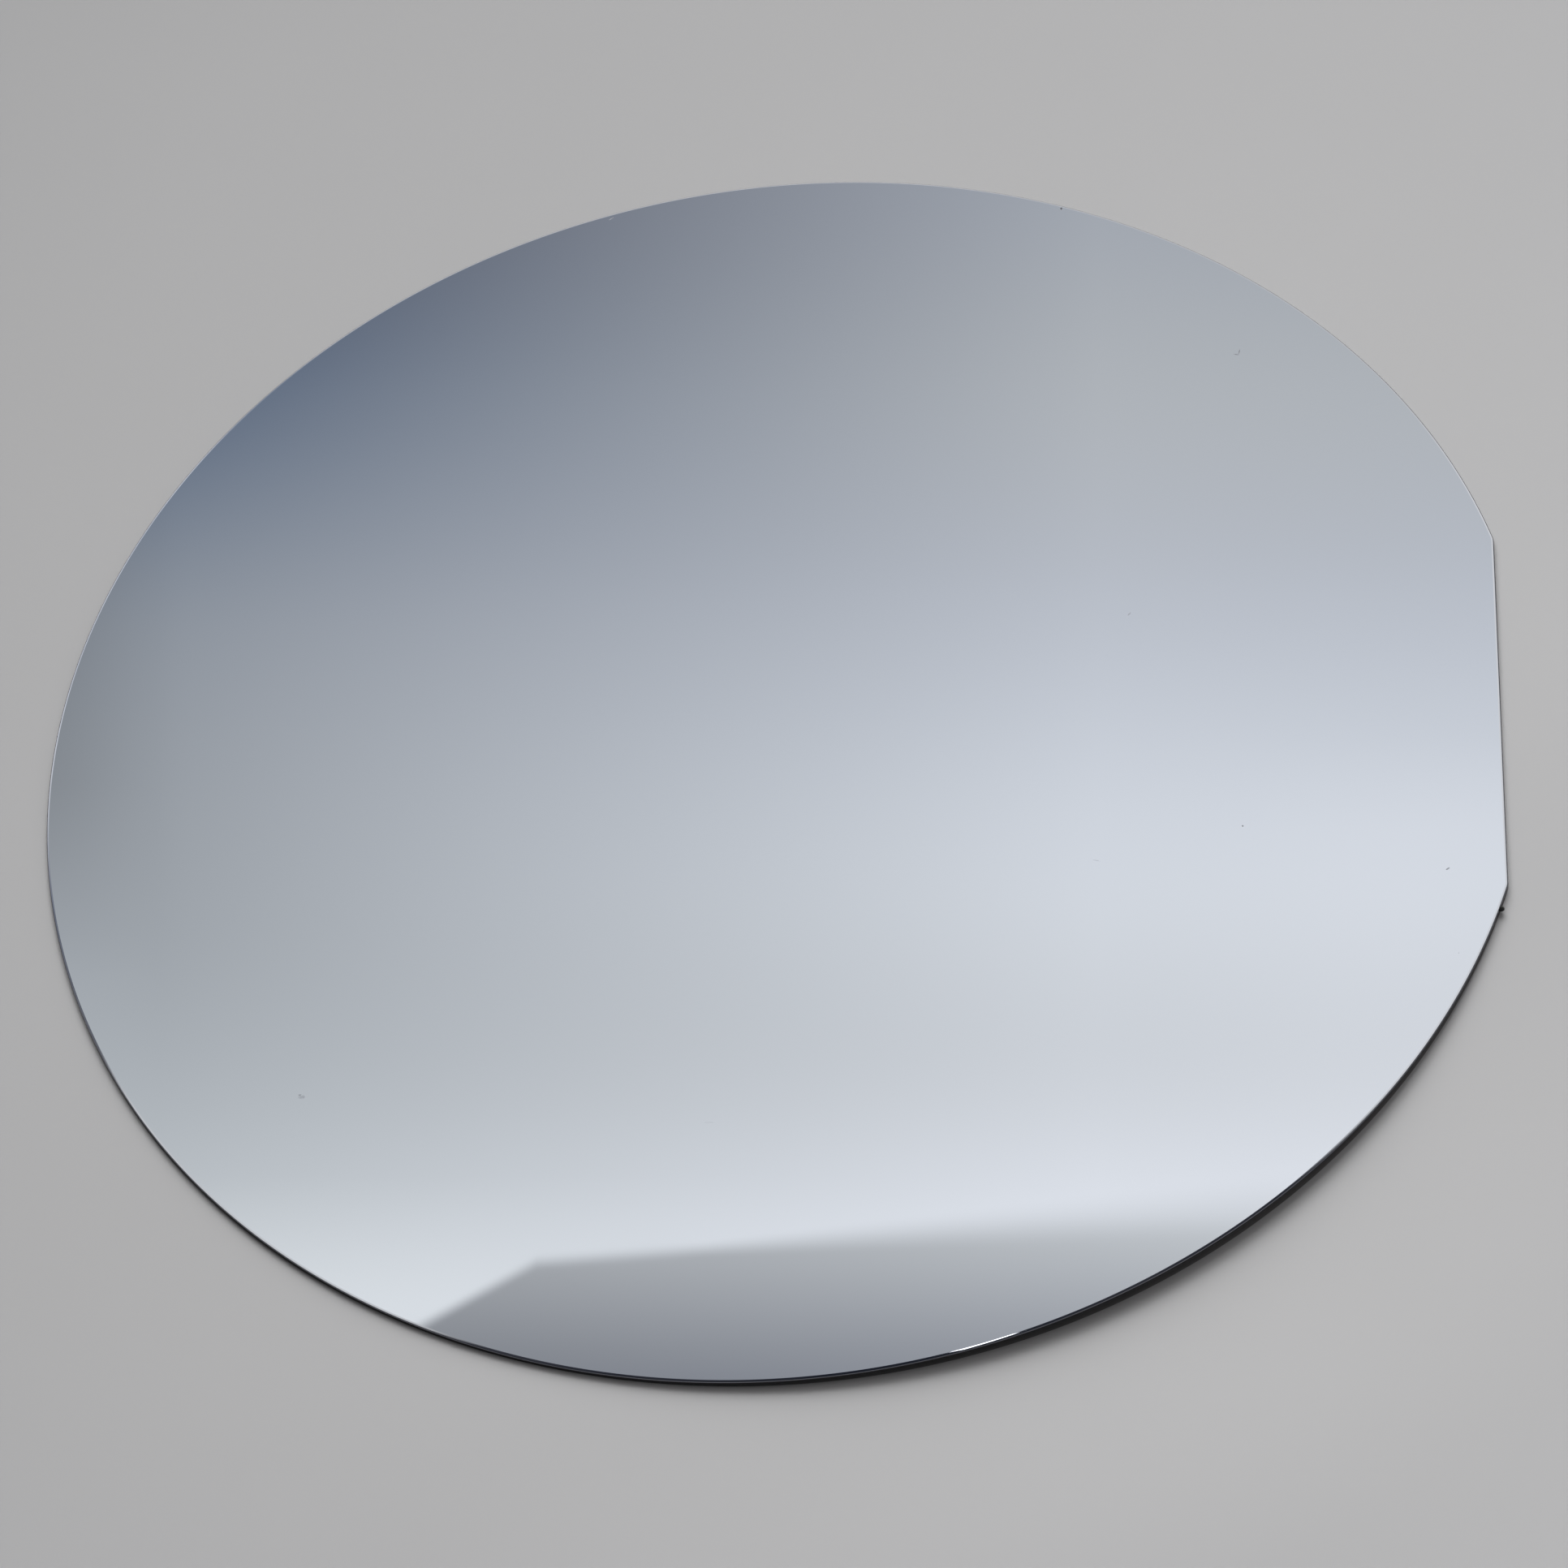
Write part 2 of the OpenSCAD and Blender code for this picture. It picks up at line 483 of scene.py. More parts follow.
def etched_finish(finish, groups):
    """The satin back face: even, fine etch pits and slow clouds."""
    material, tree, shader = new_material("etched_silicon")
    place = tree.add("ShaderNodeTexCoord").outputs["Object"]
    cloud = place_group(tree, groups["soft_cloud"], position=place, cloud_size=0.03,
                        low=0.34, high=0.44)["Value"]
    dust = place_group(tree, groups["fine_dust"], position=place, spacing=7 * MM,
                       speck_size=0.16 * MM, share=0.3)["Mask"]
    pits = tree.add("ShaderNodeTexVoronoi", {"Vector": place, "Scale": 5200.0})
    grain = tree.map(pits.outputs["Distance"], 0.0, 1.0, 0.88, 1.06)
    colour = tree.add("ShaderNodeVectorMath", {0: finish.etched_colour, 1: grain},
                      operation="MULTIPLY").outputs[0]
    tree.feed(shader.inputs["Base Color"], tree.mix(dust, colour, (*finish.dust_colour, 1)))
    tree.feed(shader.inputs["Metallic"], tree.sum("SUBTRACT", 1.0, dust))
    tree.feed(shader.inputs["Roughness"], tree.mix(dust, cloud, 0.85, "FLOAT"))
    bump = tree.add("ShaderNodeBump", {
        "Height": pits.outputs["Distance"], "Strength": 0.25, "Distance": 0.004 * MM})
    tree.feed(shader.inputs["Normal"], bump.outputs[0])
    return material


def edge_finish(name, colour, smoothest, roughest, finish, groups):
    """The edge, with fine grinding lines along the rim that are more or less polished out."""
    material, tree, shader = new_material(name)
    place = tree.add("ShaderNodeTexCoord").outputs["Object"]
    drawn = tree.add("ShaderNodeMapping", {"Vector": place, "Scale": (60.0, 60.0, 14000.0)})
    lines = tree.add("ShaderNodeTexNoise", {
        "Vector": drawn.outputs[0], "Scale": 1.0, "Detail": 3.0, "Roughness": 0.6})
    roughness = tree.map(lines.outputs[0], 0.3, 0.7, smoothest, roughest)
    dust = place_group(tree, groups["fine_dust"], position=place, spacing=3 * MM,
                       speck_size=0.12 * MM, share=0.25)["Mask"]
    dusted(tree, shader, dust, colour, finish.dust_colour, roughness)
    bump = tree.add("ShaderNodeBump", {
        "Height": lines.outputs[0], "Strength": 0.12, "Distance": 0.004 * MM})
    tree.feed(shader.inputs["Normal"], bump.outputs[0])
    return material


def crumb_finish(finish, groups):
    """The dark crumb on the rim: matt, with paler grains."""
    material, tree, shader = new_material("dark_crumb")
    place = tree.add("ShaderNodeTexCoord").outputs["Object"]
    grain = place_group(tree, groups["soft_cloud"], position=place, cloud_size=0.12 * MM,
                        low=0.0, high=1.0)["Value"]
    pale = tuple(2.5 * part for part in finish.crumb_colour)
    tree.feed(shader.inputs["Base Color"],
              tree.mix(grain, (*finish.crumb_colour, 1), (*pale, 1)))
    tree.feed(shader.inputs["Roughness"], tree.map(grain, 0.0, 1.0, 0.9, 0.6))
    return material


# ---------------------------------------------------------------------------------------------
# The slice
# ---------------------------------------------------------------------------------------------


def outline_points(sizes):
    """Points round the wafer's outline, anticlockwise from the flat's left end."""
    radius, corner = sizes.diameter / 2, sizes.corner_radius
    corner_y = sizes.flat_distance - corner
    corner_x = math.sqrt((radius - corner) ** 2 - corner_y ** 2)
    turn = math.atan2(corner_x, corner_y)
    down, round_back = -math.pi / 2, 3 * math.pi / 2
    arcs = (
        (corner_x, -corner_y, corner, down, down + turn, sizes.corner_steps),
        (0.0, 0.0, radius, down + turn, round_back - turn, sizes.rim_steps),
        (-corner_x, -corner_y, corner, round_back - turn, round_back, sizes.corner_steps),
    )
    points = [(-corner_x + 2 * corner_x * step / sizes.flat_steps, -sizes.flat_distance, 0.0)
              for step in range(sizes.flat_steps)]
    for centre_x, centre_y, reach, start, stop, steps in arcs:
        for step in range(steps):
            angle = start + (stop - start) * step / steps
            points.append((centre_x + reach * math.cos(angle),
                           centre_y + reach * math.sin(angle), 0.0))
    return points


def edge_sweep_tree():
    """Geometry nodes: the ground edge's section swept round the outline, and both faces."""
    tree, given, end = new_group("edge_sweep", "GeometryNodeTree", (
        ("INPUT", "Outline", "NodeSocketGeometry", None),
        ("INPUT", "Thickness", "NodeSocketFloat", 0.725 * MM),
        ("INPUT", "Bevel Width", "NodeSocketFloat", 0.32 * MM),
        ("INPUT", "Bevel Slope", "NodeSocketFloat", 0.38),
        ("INPUT", "Blend Radius", "NodeSocketFloat", 0.2 * MM),
        ("INPUT", "Blend Steps", "NodeSocketInt", 9),
        ("INPUT", "Face Rings", "NodeSocketInt", 12),
        ("INPUT", "Polished", "NodeSocketMaterial", None),
        ("INPUT", "Etched", "NodeSocketMaterial", None),
        ("INPUT", "Bevel", "NodeSocketMaterial", None),
        ("INPUT", "Ground", "NodeSocketMaterial", None),
        ("OUTPUT", "Wafer", "NodeSocketGeometry", None),
    ))
    tree.tree.is_modifier = True

    # The section: four points, whose two outer ones are the sharp corners that get the blends.
    half = tree.sum("MULTIPLY", given["Thickness"], 0.5)
    drop = tree.sum("MULTIPLY", given["Bevel Width"], tree.sum("TANGENT", given["Bevel Slope"]))
    inward = tree.sum("MULTIPLY", given["Bevel Width"], -1.0)
    crown = tree.sum("SUBTRACT", half, drop)
    corners = ((inward, half), (0.0, crown), (0.0, tree.sum("MULTIPLY", crown, -1.0)),
               (inward, tree.sum("MULTIPLY", half, -1.0)))
    pick = tree.add("GeometryNodeIndexSwitch", data_type="VECTOR")
    while len(pick.index_switch_items) < len(corners):
        pick.index_switch_items.new()
    tree.feed(pick.inputs["Index"], tree.add("GeometryNodeInputIndex").outputs[0])
    for number, (x, y) in enumerate(corners):
        point = tree.add("ShaderNodeCombineXYZ", {"X": x, "Y": y})
        tree.feed(pick.inputs[1 + number], point.outputs[0])
    line = tree.add("GeometryNodeMeshLine", {"Count": len(corners)})
    line = tree.add("GeometryNodeSetPosition",
                    {"Geometry": line.outputs[0], "Position": pick.outputs[0]})
    section = tree.add("GeometryNodeMeshToCurve", {"Mesh": line.outputs[0]})
    section = tree.add("GeometryNodeFilletCurve", {
        "Curve": section.outputs[0], "Count": given["Blend Steps"],
        "Radius": given["Blend Radius"], "Limit Radius": False}, mode="POLY")

    # The sweep, with the section held upright.
    path = tree.add("GeometryNodeMeshToCurve", {"Mesh": given["Outline"]})
    path = tree.add("GeometryNodeSetCurveNormal", {"Curve": path.outputs[0]}, mode="Z_UP")
    swept = tree.add("GeometryNodeCurveToMesh", {
        "Curve": path.outputs[0], "Profile Curve": section.outputs[0]})

    # Each turn of the loop draws the two open rims in by one ring, and the last one closes them.
    loop_end = tree.add("GeometryNodeRepeatOutput")
    loop = tree.add("GeometryNodeRepeatInput")
    loop.pair_with_output(loop_end)
    tree.feed(loop.inputs["Iterations"], given["Face Rings"])
    tree.feed(loop.inputs["Geometry"], swept.outputs[0])
    neighbours = tree.add("GeometryNodeInputMeshEdgeNeighbors").outputs[0]
    is_rim = tree.add("FunctionNodeCompare", data_type="INT", operation="EQUAL")
    tree.feed(is_rim.inputs[2], neighbours)
    tree.feed(is_rim.inputs[3], 1)
    ring = tree.add("GeometryNodeExtrudeMesh", {
        "Mesh": loop.outputs["Geometry"], "Selection": is_rim.outputs[0],
        "Offset Scale": 0.0}, mode="EDGES")
    left = tree.sum("SUBTRACT", given["Face Rings"], loop.outputs["Iteration"])
    shrink = tree.sum("DIVIDE", tree.sum("SUBTRACT", left, 1.0), left)
    scale = tree.add("ShaderNodeCombineXYZ", {"X": shrink, "Y": shrink, "Z": 1.0})
    drawn_in = tree.add("ShaderNodeVectorMath", {
        0: tree.add("GeometryNodeInputPosition").outputs[0], 1: scale.outputs[0]},
        operation="MULTIPLY")
    ring = tree.add("GeometryNodeSetPosition", {
        "Geometry": ring.outputs["Mesh"], "Selection": ring.outputs["Top"],
        "Position": drawn_in.outputs[0]})
    tree.feed(loop_end.inputs["Geometry"], ring.outputs[0])

    # One closed mesh that rests on z = 0, smooth but for the lines where the bevels start.
    whole = tree.add("GeometryNodeMergeByDistance", {
        "Geometry": loop_end.outputs["Geometry"], "Distance": MERGE_DISTANCE})
    lift = tree.add("ShaderNodeCombineXYZ", {"Z": half})
    whole = tree.add("GeometryNodeSetPosition",
                     {"Geometry": whole.outputs[0], "Offset": lift.outputs[0]})
    whole = tree.add("GeometryNodeSetShadeSmooth", {"Geometry": whole.outputs[0]})
    bend = tree.add("GeometryNodeInputMeshEdgeAngle").outputs["Unsigned Angle"]
    is_line = tree.sum("GREATER_THAN", bend, tree.sum("MULTIPLY", given["Bevel Slope"], 0.7))
    whole = tree.add("GeometryNodeSetShadeSmooth", {
        "Geometry": whole.outputs[0], "Selection": is_line, "Shade Smooth": False},
        domain="EDGE")

    # The finishes: the crown's all over, then the bevels', then each face's own.
    whole = tree.add("GeometryNodeRealizeInstances", {"Geometry": whole.outputs[0]})
    whole = tree.add("GeometryNodeSetMaterial",
                     {"Geometry": whole.outputs[0], "Material": given["Ground"]})
    up = tree.add("ShaderNodeSeparateXYZ",
                  {0: tree.add("GeometryNodeInputNormal").outputs[0]}).outputs["Z"]
    height = tree.add("ShaderNodeSeparateXYZ",
                      {0: tree.add("GeometryNodeInputPosition").outputs[0]}).outputs["Z"]
    on_top = tree.sum("SIGN", tree.sum("SUBTRACT", height, half))
    lie = tree.sum("MULTIPLY", tree.sum("ABSOLUTE", up), on_top)
    bevel_lie = tree.sum("COSINE", tree.sum("ADD", given["Bevel Slope"], 0.03))
    for name, chosen in (
            ("Bevel", tree.sum("GREATER_THAN", tree.sum("ABSOLUTE", up), bevel_lie)),
            ("Polished", tree.sum("GREATER_THAN", lie, 0.999)),
            ("Etched", tree.sum("LESS_THAN", lie, -0.999))):
        whole = tree.add("GeometryNodeSetMaterial", {
            "Geometry": whole.outputs[0], "Selection": chosen, "Material": given[name]})
    tree.feed(end.inputs["Wafer"], whole.outputs[0])
    return tree.tree


def run_tree(name, mesh, group, **values):
    """Runs a geometry tree on the mesh and returns its result as a plain mesh object."""
    base = new_object(name + "_base", mesh)
    modifier = base.modifiers.new("build", "NODES")
    modifier.node_group = group
    sockets = {item.name: item.identifier for item in group.interface.items_tree
               if item.in_out == "INPUT"}
    for label, value in values.items():
        modifier[sockets[label.replace("_", " ").title()]] = value
    evaluated = base.evaluated_get(bpy.context.evaluated_depsgraph_get())
    result = bpy.data.meshes.new_from_object(evaluated)
    bpy.data.objects.remove(base)
    result.name = name
    return new_object(name, result)


class WAFER_OT_slice(bpy.types.Operator):
    """Build the slice: both faces and the ground edge round them"""

    bl_idname = "wafer.slice"
    bl_label = "Slice"

    def execute(self, context):
        sizes, finish = context.scene.wafer_sizes, context.scene.wafer_finish
        groups = {"dust_mark": dust_mark_group(), "fine_dust": fine_dust_group(),
                  "soft_cloud": cloud_group()}
        outline = bpy.data.meshes.new("outline")
        points = outline_points(sizes)
        outline.from_pydata(points, [(i, (i + 1) % len(points)) for i in range(len(points))], [])
        piece = run_tree(
            "wafer_slice", outline, edge_sweep_tree(), thickness=sizes.thickness,
            bevel_width=sizes.bevel_width, bevel_slope=sizes.bevel_slope,
            blend_radius=sizes.blend_radius, blend_steps=sizes.blend_steps,
            face_rings=sizes.face_rings, polished=polished_finish(finish, groups),
            etched=etched_finish(finish, groups),
            bevel=edge_finish("bevel_silicon", finish.bevel_colour, 0.02, 0.05, finish, groups),
            ground=edge_finish("ground_silicon", finish.ground_colour, 0.12, 0.22, finish,
                               groups))
        check_closed(piece.data)
        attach(piece, BODY)
        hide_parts(NODE)
        return {"FINISHED"}


class WAFER_OT_crumb(bpy.types.Operator):
    """Build the dark crumb that sticks to the rim and rests on the floor"""

    bl_idname = "wafer.crumb"
    bl_label = "Crumb on the rim"

    def execute(self, context):
        sizes, finish = context.scene.wafer_sizes, context.scene.wafer_finish
        half = finish.crumb_size / 2
        reach = sizes.diameter / 2 + half / 2
        work = bmesh.new()
        bmesh.ops.create_icosphere(work, subdivisions=3, radius=half)
        centre = Vector((reach * math.cos(finish.crumb_direction),
                         reach * math.sin(finish.crumb_direction), CRUMB_FLATNESS * half))
        for vertex in work.verts:
            across, along, up = (
                math.sin(wave * part + start)
                for wave, part, start in zip(CRUMB_WAVES, vertex.co, CRUMB_STARTS))
            lump = across * along + 0.6 * up  # within 1.6 either way, so the size is kept
            flattened = vertex.co * Vector((1, 1, CRUMB_FLATNESS))
            vertex.co = flattened * (0.93 + 0.045 * lump) + centre
        for face in work.faces:
            face.smooth = True
        mesh = bpy.data.meshes.new("rim_crumb")
        work.to_mesh(mesh)
        work.free()
        check_closed(mesh)
        cloud = bpy.data.node_groups.get("soft_cloud") or cloud_group()
        mesh.materials.append(crumb_finish(finish, {"soft_cloud": cloud}))
        piece = new_object("rim_crumb", mesh)
        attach(piece, BODY)
        return {"FINISHED"}


# ---------------------------------------------------------------------------------------------
# The studio
# ---------------------------------------------------------------------------------------------


def floor_finish(name, colour):
    """Plain board with a painted light falloff: its colour is painted lighter towards -X, -Y and
    the wafer. It is clear from below.
    """
    material, tree, shader = new_material(name)
    place = tree.add("ShaderNodeTexCoord").outputs["Object"]
    noise = tree.add("ShaderNodeTexNoise", {"Vector": place, "Scale": 9.0, "Detail": 5.0})
    grain = tree.map(noise.outputs[0], 0.3, 0.7, 0.985, 1.015)
    parts = tree.add("ShaderNodeSeparateXYZ", {0: place}).outputs
    # Painted light falloff: the colour is painted lighter towards -Y, -X and near the wafer, on
    # top of the random grain.
    grain_and_painted_falloff = tree.sum("MULTIPLY", grain, tree.map(parts["Y"], 0.13, -0.13, 0.90, 1.06))
    grain_and_painted_falloff = tree.sum("MULTIPLY", grain_and_painted_falloff, tree.map(parts["X"], 0.15, -0.15, 0.955, 1.045))
    away = tree.add("ShaderNodeVectorMath", {0: place}, operation="LENGTH").outputs["Value"]
    grain_and_painted_falloff = tree.sum("MULTIPLY", grain_and_painted_falloff, tree.map(away, 0.10, 0.24, 1.06, 0.95))
    tint = tree.add("ShaderNodeVectorMath", {0: colour, 1: grain_and_painted_falloff}, operation="MULTIPLY")
    tree.feed(shader.inputs["Base Color"], tint.outputs[0])
    shader.inputs["Roughness"].default_value = 0.8
    shader.inputs["Specular IOR Level"].default_value = 0.2
    clear = tree.add("ShaderNodeBsdfTransparent")
    under = tree.add("ShaderNodeNewGeometry").outputs["Backfacing"]
    both = tree.add("ShaderNodeMixShader", {0: under, 1: shader.outputs[0], 2: clear.outputs[0]})
    end = next(node for node in tree.tree.nodes if node.type == "OUTPUT_MATERIAL")
    tree.feed(end.inputs["Surface"], both.outputs[0])
    return material


def glow_finish(name, colour=None):
    """A material that only glows. The colour is set here, or wired up by the caller."""
    material = bpy.data.materials.new(name)
    material.use_nodes = True
    material.node_tree.nodes.clear()
    tree = Tree(material.node_tree)
    glow = tree.add("ShaderNodeEmission")
    tree.add("ShaderNodeOutputMaterial", {"Surface": glow.outputs[0]})
    if colour:
        glow.inputs["Color"].default_value = (*colour, 1)
    return material, tree, glow


def card_finish(view_half):
    """The card that the polished face mirrors: a bright sheet that fades to slate.

    view_half is how far from the card's middle the edge of the picture is mirrored. Places on
    the card are given in that unit, to the right of its middle and up from it."""
    material, tree, glow = glow_finish("glowing_card")
    glow.inputs["Strength"].default_value = GLOW_STRENGTH
    place = tree.add("ShaderNodeTexCoord").outputs["Object"]
    unit = tree.add("ShaderNodeMapping", {"Vector": place, "Scale": (1 / view_half,) * 3})
    parts = tree.add("ShaderNodeSeparateXYZ", {0: unit.outputs[0]}).outputs
    across, up = parts["X"], parts["Y"]
    rise = tree.map(up, -1.0, 1.0)
    # The left side is pale at the foot, mid grey over most of its height, and slate at the top.
    left = tree.ramp(rise, (
        (0.17, (0.86, 0.88, 0.85)), (0.25, (0.57, 0.59, 0.58)), (0.40, (0.41, 0.43, 0.43)),
        (0.60, (0.37, 0.39, 0.40)), (0.75, (0.08, 0.13, 0.21)), (0.87, (0.02, 0.03, 0.07))),
        "B_SPLINE")
    # The right side is white at the foot, with a paler band above a dip, and grey at the top.
    right = tree.ramp(rise, (
        (0.22, (0.96, 0.97, 0.97)), (0.33, (0.68, 0.69, 0.68)), (0.45, (0.88, 0.90, 0.90)),
        (0.62, (0.55, 0.57, 0.60)), (0.75, (0.55, 0.56, 0.54)), (0.87, (0.43, 0.45, 0.47))),
        "B_SPLINE")
    sheet = tree.mix(tree.map(across, -0.8, 0.4), left, right)

    # The left edge is a little darker high up, and the right edge a little brighter low down.
    dimming = tree.sum("MULTIPLY", tree.map(across, -0.75, -0.97, 0.0, 0.25, smooth=True),
                       tree.map(up, -0.25, 0.0))
    sheet = tree.mix(dimming, sheet, (0, 0, 0, 1))
    lift = tree.sum("MULTIPLY", tree.map(across, 0.4, 0.85, 0.0, 0.16, smooth=True),
                    tree.map(up, 0.06, -0.06))
    sheet = tree.mix(lift, sheet, (1, 1, 1, 1))

    # The sheet ends at the lower of two slanted lines, and the duller wall beyond it shows. Each
    # line has its slope and its height over the card's middle.
    long_line = tree.sum("MULTIPLY_ADD", across, 0.079, -0.585)
    short_line = tree.sum("MULTIPLY_ADD", across, 0.548, -0.437)
    line = tree.sum("MINIMUM", long_line, short_line)
    blur = tree.map(across, -0.1, 0.6, 0.012, 0.045)
    past = tree.sum("DIVIDE", tree.sum("SUBTRACT", line, up), blur)
    past = tree.map(past, -1.0, 1.0, smooth=True)
    wall = tree.ramp(rise, (
        (0.11, (0.26, 0.27, 0.29)), (0.14, (0.33, 0.34, 0.35)), (0.205, (0.51, 0.52, 0.51)),
        (0.225, (0.57, 0.58, 0.57))))
    wall = tree.add("ShaderNodeVectorMath", {
        0: wall, 1: tree.map(across, -0.5, 0.7, 0.86, 1.25)}, operation="MULTIPLY").outputs[0]
    tree.feed(glow.inputs["Color"], tree.mix(past, sheet, wall))
    return material


def make_sky(scene, look):
    """What the wafer mirrors, the fill light on the floor, and the plain backdrop.

    The mirrored sky is bright low down and dim overhead, with a few soft bright patches. The
    fill light comes from one side. The backdrop has the floor's colour."""
    world = bpy.data.worlds.new("studio")
    world.use_nodes = True
    world.node_tree.nodes.clear()
    tree = Tree(world.node_tree)
    place = tree.add("ShaderNodeTexCoord").outputs["Generated"]
    height = tree.add("ShaderNodeSeparateXYZ", {0: place}).outputs["Z"]
    sky = tree.ramp(tree.map(height, -1.0, 1.0), (
        (0.0, (0.55, 0.55, 0.56)), (0.49, (0.60, 0.60, 0.61)), (0.53, (0.68, 0.68, 0.69)),
        (0.60, (0.88, 0.88, 0.90)), (0.70, (0.80, 0.80, 0.82)), (0.775, (0.26, 0.26, 0.28)),
        (0.87, (0.08, 0.08, 0.09)), (0.9925, (0.05, 0.05, 0.06)), (0.9975, (0.42, 0.42, 0.44)),
        (1.0, (0.50, 0.50, 0.52))))
    moved = tree.add("ShaderNodeMapping", {"Vector": place, "Location": (2.6, 6.4, 5.2)})
    noise = tree.add("ShaderNodeTexNoise", {
        "Vector": moved.outputs[0], "Scale": 4.0, "Detail": 1.0})
    clouds = tree.ramp(noise.outputs[0], (
        (0.32, (0.30, 0.34, 0.42)), (0.50, (0.64, 0.66, 0.70)), (0.66, (0.90, 0.91, 0.92))))
    sky = tree.add("ShaderNodeVectorMath", {0: sky, 1: clouds},
                   operation="MULTIPLY").outputs[0]
    for towards, begins, full, brightness in SKY_PATCHES:
        facing = tree.add("ShaderNodeVectorMath", {0: place, 1: towards},
                          operation="DOT_PRODUCT").outputs["Value"]
        lit = tree.map(facing, begins, full, smooth=True)
        sky = tree.mix(lit, sky, (brightness, brightness, brightness, 1))

    fill_from = (math.cos(look.fill_direction), math.sin(look.fill_direction), 0.0)
    side = tree.add("ShaderNodeVectorMath", {0: place, 1: fill_from},
                    operation="DOT_PRODUCT").outputs["Value"]
    fill = tree.map(side, -0.4, 0.9, 0.0, look.fill_strength)
    path = tree.add("ShaderNodeLightPath").outputs
    strength = tree.mix(path["Is Diffuse Ray"], GLOW_STRENGTH, fill, "FLOAT")
    sky = tree.mix(path["Is Diffuse Ray"], sky, (*look.fill_colour, 1))
    seen = path["Is Camera Ray"]
    colour = tree.mix(seen, sky, (*look.floor_colour, 1))
    back = tree.add("ShaderNodeBackground", {
        "Color": colour, "Strength": tree.mix(seen, strength, 1.0, "FLOAT")})
    tree.add("ShaderNodeOutputWorld", {"Surface": back.outputs[0]})
    scene.world = world


def flat_panel(name, half, matrix, material):
    """A square panel of the stage, centred on and turned by the matrix."""
    mesh = bpy.data.meshes.new(name)
    corners = [(-half, -half, 0), (half, -half, 0), (half, half, 0), (-half, half, 0)]
    mesh.from_pydata(corners, [], [(0, 1, 2, 3)])
    mesh.materials.append(material)
    panel = new_object(name, mesh)
    panel.matrix_world = matrix
    return panel


def floor_mesh(outline, look):
    """A wide floor that sags a little under one side of the wafer.

    Its opening, which the wafer covers, lets the wafer's back be seen from below. Round the
    opening the floor turns up to the wafer's back, so that no light comes in there. The rings
    under the wafer have the second material, a darker colour that paints the shade in the gap."""
    work = bmesh.new()
    rings = [[] for _ in range(len(FADE_RINGS) + 3)]
    for point in outline:
        place = Vector(point)
        aside = math.atan2(place.y, place.x) - look.sag_direction
        aside = abs((aside + math.pi) % (2 * math.pi) - math.pi) / look.sag_spread
        part = math.cos(math.pi / 2 * min(aside, 1.0)) ** 2
        drop = part * look.sag_depth
        # Where the floor sags, the opening draws in, so that it stays hidden under the wafer.
        under = 1 - OPENING_INSET - 2 * drop / place.length
        lip = under - LIP_WIDTH - part * OPENING_INSET
        steps = [(lip, LIP_DROP * drop), (under, drop)]
        for grow in FADE_RINGS:
            gone = (grow - 1) / (FADE_RINGS[-1] - 1)
            steps.append((grow, drop * (0.5 + 0.5 * math.cos(math.pi * gone))))
        steps.append((look.floor_reach / place.length, 0.0))
        for ring, (grow, depth) in zip(rings, steps):
            ring.append(work.verts.new(grow * place - Vector((0, 0, depth))))
    for number, (inner, outer) in enumerate(zip(rings, rings[1:])):
        # The rings under the wafer get the darker second material, which is painted shade in the
        # gap.
        under_wafer = number < 2
        for i in range(len(outline)):
            j = (i + 1) % len(outline)
            face = work.faces.new((inner[i], outer[i], outer[j], inner[j]))
            face.smooth = True
            face.material_index = int(under_wafer)
    mesh = bpy.data.meshes.new("floor")
    work.to_mesh(mesh)
    work.free()
    return mesh


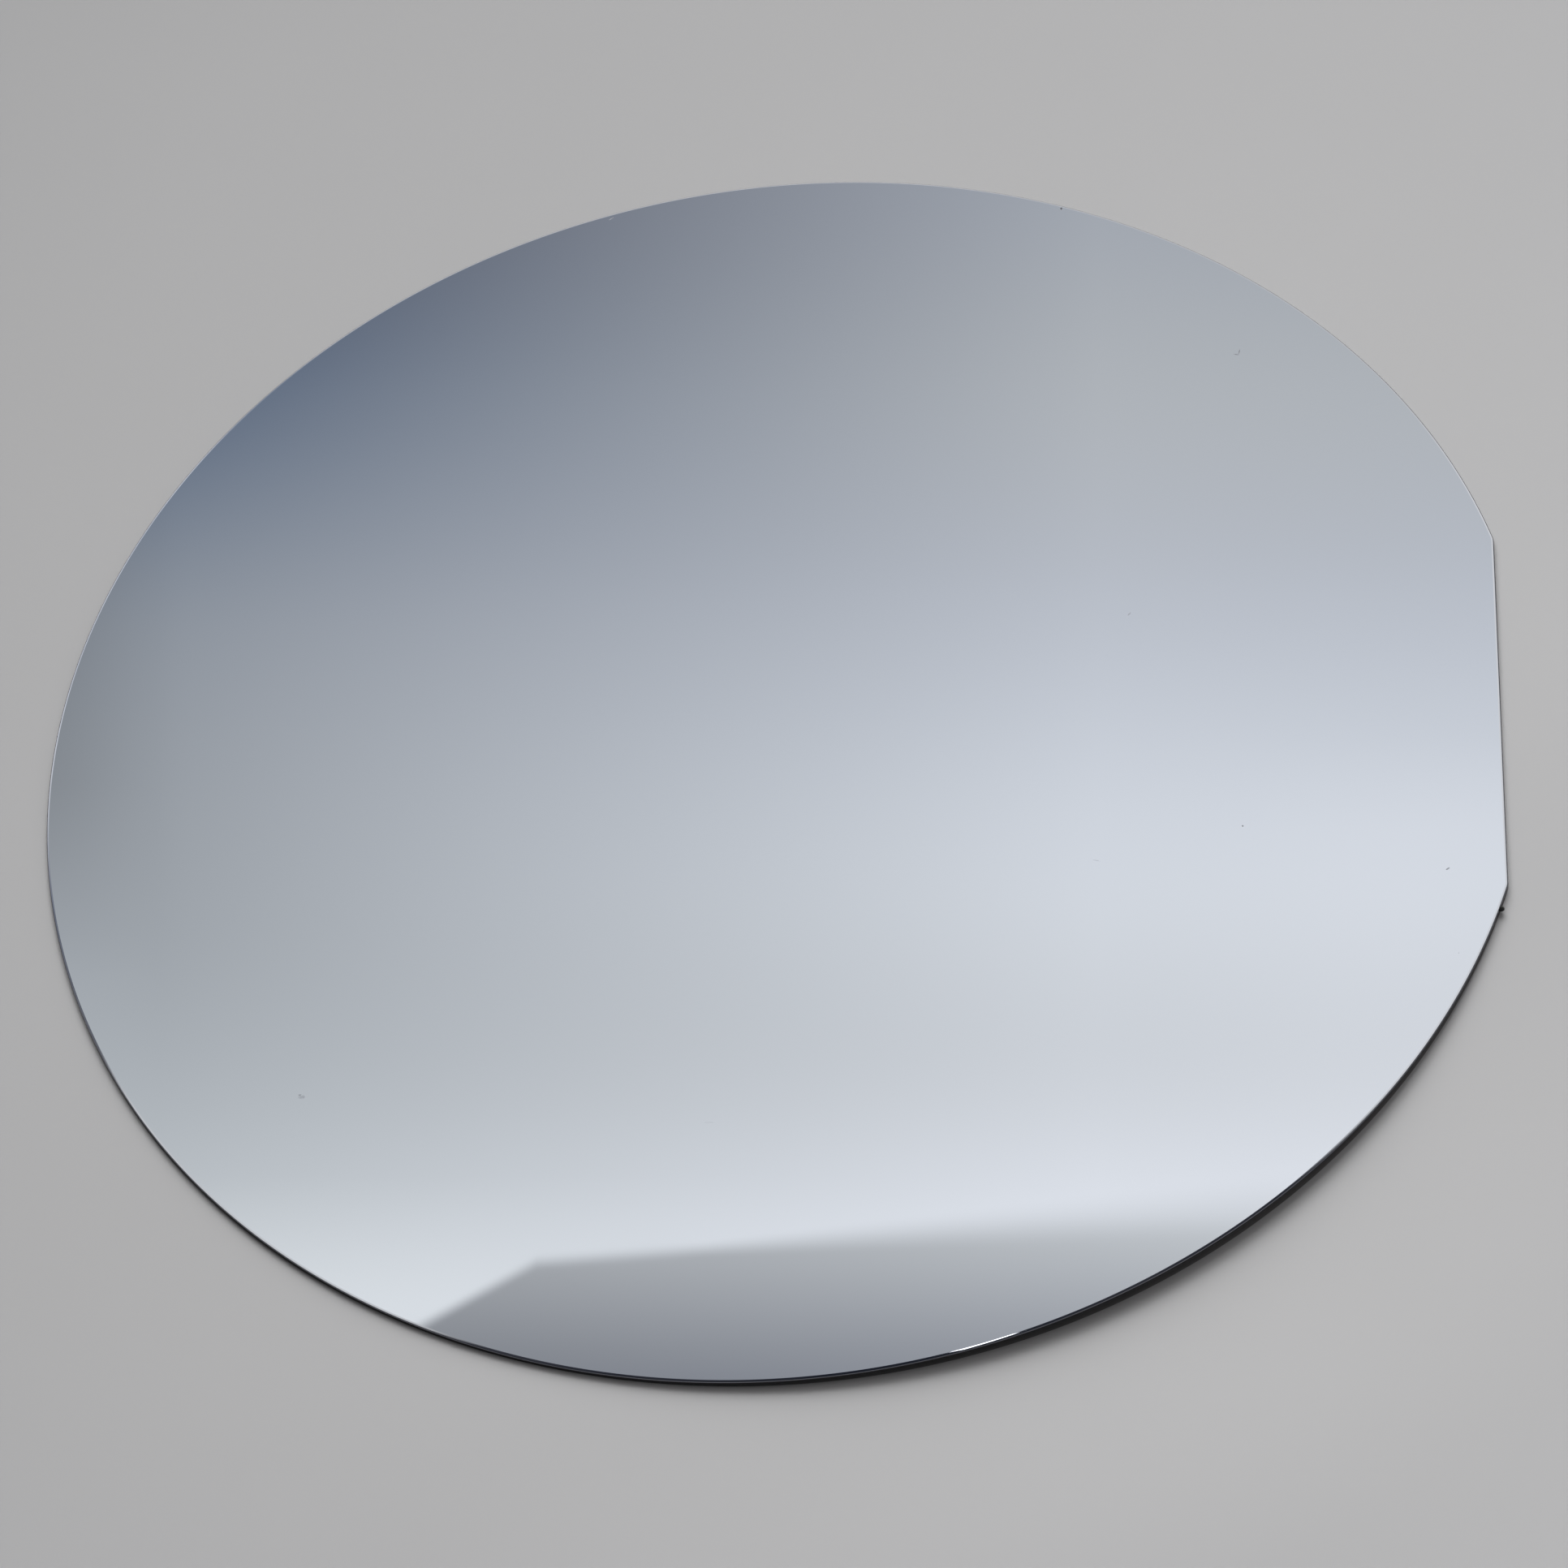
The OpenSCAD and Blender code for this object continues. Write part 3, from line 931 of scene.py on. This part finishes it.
class WAFER_OT_studio(bpy.types.Operator):
    """Build the floor, the lights, the card that the wafer mirrors, and the camera"""

    bl_idname = "wafer.studio"
    bl_label = "Studio"

    def execute(self, context):
        scene, look, sizes = context.scene, context.scene.studio_look, context.scene.wafer_sizes
        back = direction(look.azimuth, look.elevation)
        level = Vector((math.cos(look.azimuth), math.sin(look.azimuth), 0.0))
        upward = back.cross(level)
        right = math.cos(look.roll) * level + math.sin(look.roll) * upward
        above = math.cos(look.roll) * upward - math.sin(look.roll) * level

        camera = bpy.data.objects.new("camera", bpy.data.cameras.new("camera"))
        scene.collection.objects.link(camera)
        camera.data.lens = look.lens
        camera.data.sensor_width = SENSOR_WIDTH
        camera.data.clip_start, camera.data.clip_end = 0.01, 50
        eye = Vector(look.aim) + back * look.distance
        axes = Matrix((right, above, back)).transposed()
        camera.matrix_world = Matrix.Translation(eye) @ axes.to_4x4()
        scene.camera = camera

        # The card stands square to the mirrored line of sight, turned as the mirrored picture is,
        # and is half as large again as the mirrored picture.
        flip = Vector((1, 1, -1))
        eye_below = eye * flip + Vector((0, 0, 2 * sizes.thickness))
        sight = -back * flip
        card_reach = look.distance + look.card_distance
        view_half = card_reach * SENSOR_WIDTH / 2 / look.lens
        card_axes = Matrix((right * flip, above * flip, sight)).transposed().to_4x4()
        flat_panel("glowing_card", 1.5 * view_half,
                   Matrix.Translation(eye_below + sight * card_reach) @ card_axes,
                   card_finish(view_half))

        # A small lamp high up, where the near bevel mirrors it as a short bright line.
        slope = sizes.bevel_slope
        outward = Vector((math.cos(look.glint_direction), math.sin(look.glint_direction), 0))
        bevel = outward * math.sin(slope) + Vector((0, 0, math.cos(slope)))
        rim = outward * (sizes.diameter - sizes.bevel_width) / 2 + Vector((0, 0, sizes.thickness))
        to_lamp = (rim - eye).normalized().reflect(bevel)
        lamp_axes = to_lamp.to_track_quat("Z", "Y").to_matrix().to_4x4()
        flat_panel("edge_lamp", look.lamp_width / 2,
                   Matrix.Translation(rim + to_lamp * look.lamp_distance) @ lamp_axes,
                   glow_finish("lamp_glow", look.lamp_glow)[0])

        outline = outline_points(sizes)
        floor = new_object("floor", floor_mesh(outline, look))
        floor.data.materials.append(floor_finish("pale_floor", look.floor_colour))
        # The second floor material is darker: painted shade under the wafer.
        floor.data.materials.append(floor_finish("floor_painted_shade", look.painted_gap_shade))

        key = bpy.data.objects.new("key", bpy.data.lights.new("key", "SUN"))
        scene.collection.objects.link(key)
        key.data.energy = look.key_strength
        key.data.angle = look.key_softness
        key.data.color = look.key_colour
        key.visible_glossy = False
        from_minus_y = look.key_direction + math.pi / 2
        towards = direction(from_minus_y, look.key_height)
        key.matrix_world = towards.to_track_quat("Z", "Y").to_matrix().to_4x4()
        make_sky(scene, look)
        scene.view_settings.view_transform = "Standard"
        return {"FINISHED"}


class WAFER_PT_build(bpy.types.Panel):
    """Sizes, finishes and the buttons that build the pieces"""

    bl_idname = "WAFER_PT_build"
    bl_label = "Silicon wafer"
    bl_space_type = "VIEW_3D"
    bl_region_type = "UI"
    bl_category = "Wafer"

    def draw(self, context):
        for group in (context.scene.wafer_sizes, context.scene.wafer_finish,
                      context.scene.studio_look):
            box = self.layout.box()
            for name in group.__annotations__:
                box.prop(group, name)
        for operator in OPERATORS:
            self.layout.operator(operator.bl_idname)


OPERATORS = (WAFER_OT_slice, WAFER_OT_crumb, WAFER_OT_studio)
PROPERTIES = {"wafer_sizes": WaferSizes, "wafer_finish": WaferFinish, "studio_look": StudioLook}


def register():
    """Registers the classes and hangs the sizes and finishes on the scene."""
    for kind in (*PROPERTIES.values(), *OPERATORS, WAFER_PT_build):
        bpy.utils.register_class(kind)
    for name, kind in PROPERTIES.items():
        setattr(bpy.types.Scene, name, bpy.props.PointerProperty(type=kind))


def unregister():
    """Takes everything that register added away again."""
    for name in PROPERTIES:
        delattr(bpy.types.Scene, name)
    for kind in (WAFER_PT_build, *reversed(OPERATORS), *reversed(tuple(PROPERTIES.values()))):
        bpy.utils.unregister_class(kind)


def main():
    register()
    bpy.ops.wafer.slice()
    bpy.ops.wafer.crumb()
    bpy.ops.wafer.studio()


if __name__ == "__main__":
    main()
